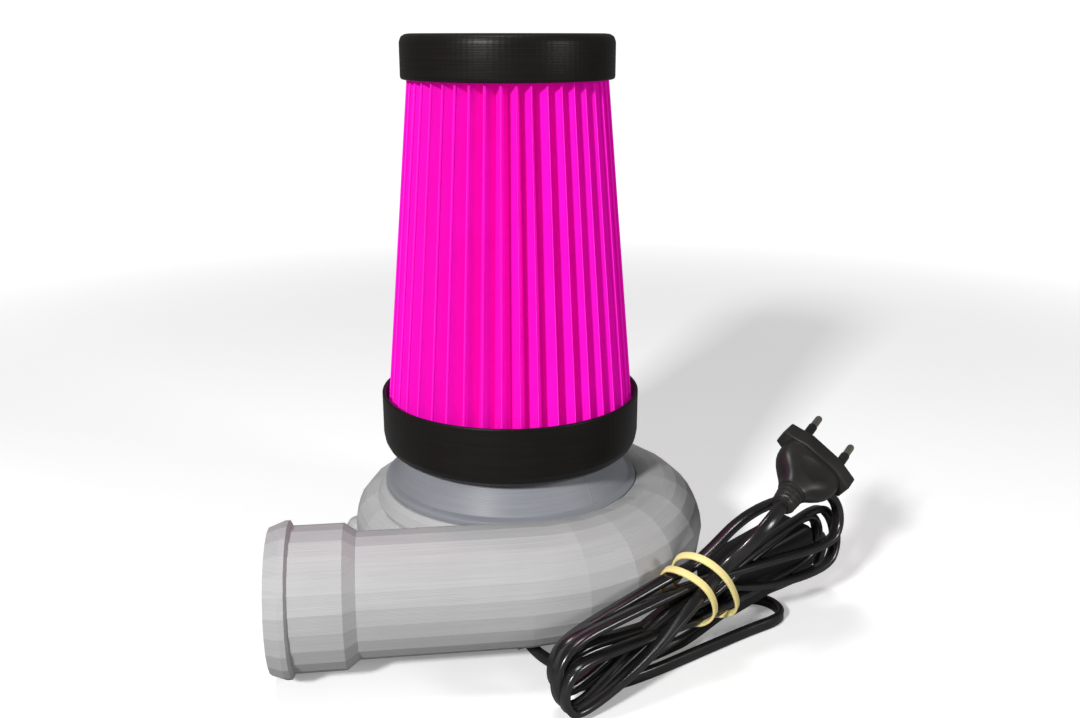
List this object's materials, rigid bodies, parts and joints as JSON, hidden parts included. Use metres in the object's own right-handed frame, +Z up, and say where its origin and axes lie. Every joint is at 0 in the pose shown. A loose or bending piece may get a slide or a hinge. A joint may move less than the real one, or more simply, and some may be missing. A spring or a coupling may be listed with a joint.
{
  "type": "solder fume extractor",
  "caption": "Bench fume extractor: a fan in a snail casing draws air through a pleated cone filter and out of a round side socket, with mains cord, switch and plug.",
  "frame": {"origin": "on the fan's axis at the standing surface, the base plate's underside", "axes": "+Z up along the fan's axis; the outlet socket points to -X and 7.3 degrees towards -Y; the cord lies on the +X, -Y side"},
  "size_m": [0.2514, 0.2, 0.2509],
  "materials": {
    "grey_print": "layered print",
    "blue_grey_print": "layered print",
    "dark_print": "layered print",
    "black_print": "layered print, satin",
    "magenta_paper": "pleated filter paper",
    "black_rubber": "matt",
    "cord_pvc": "glossy sheath",
    "plug_pvc": "satin",
    "cream_rubber": "matt",
    "black_plastic": "satin",
    "white_plastic": "satin",
    "resin": "cast",
    "zinc_steel": "zinc",
    "plated_steel": "drawn",
    "ferrite": "sintered",
    "bronze": "sintered",
    "brass": "turned",
    "carbon": "pressed",
    "board_green": "board",
    "lamination": "stacked",
    "copper": "enamelled",
    "nickel": "plated"
  },
  "bodies": {
    "body": {"scroll_casing": "grey_print", "inlet_neck": "blue_grey_print", "inlet_bellmouth": "grey_print", "base_plate": "dark_print", "base_screws": "zinc_steel", "cord_gland": "black_rubber", "motor_cradle": "dark_print", "cradle_feet": "dark_print", "motor_can": "plated_steel", "motor_magnets": "ferrite", "motor_end_bell": "black_plastic", "front_bush": "bronze", "rear_bush": "bronze", "brushes": "carbon", "brush_holders": "brass", "rectifier_board": "board_green", "bridge_rectifier": "black_plastic", "board_posts": "dark_print", "terminal_block": "white_plastic", "terminal_screws": "zinc_steel", "mains_cord": "cord_pvc", "cord_tail": "cord_pvc", "cord_hank": "cord_pvc", "rubber_band": "cream_rubber", "switch_front_shell": "black_plastic", "switch_rear_shell": "black_plastic", "rocker_pin": "zinc_steel", "switch_screws": "zinc_steel", "plug_body": "plug_pvc", "plug_pins": "nickel", "pin_sleeves": "black_plastic"},
    "rotor": {"motor_shaft": "zinc_steel", "armature_core": "lamination", "armature_windings": "copper", "commutator": "copper", "impeller": "grey_print", "hub_bush": "brass", "grub_screw": "zinc_steel"},
    "filter": {"filter_top_cap": "black_print", "filter_pleats": "magenta_paper", "filter_core": "black_print", "filter_base_ring": "black_print", "filter_potting": "resin", "filter_gasket": "black_rubber"},
    "rocker": {"switch_rocker": "black_plastic"}
  },
  "joints": [
    {"name": "rotor_spin", "type": "hinge", "parent": "body", "child": "rotor", "pos_m": [0, 0, 0.03], "axis": [0, 0, 1], "continuous": true},
    {"name": "filter_lift", "type": "slide", "parent": "body", "child": "filter", "axis": [0, 0, 1], "range_m": [0, 0.04]},
    {"name": "switch_rock", "type": "hinge", "parent": "body", "child": "rocker", "pos_m": [0.10448, -0.0292, 0.0272], "axis": [-0.1277, -0.0904, 0.9877], "range_deg": [-22, 0]}
  ]
}
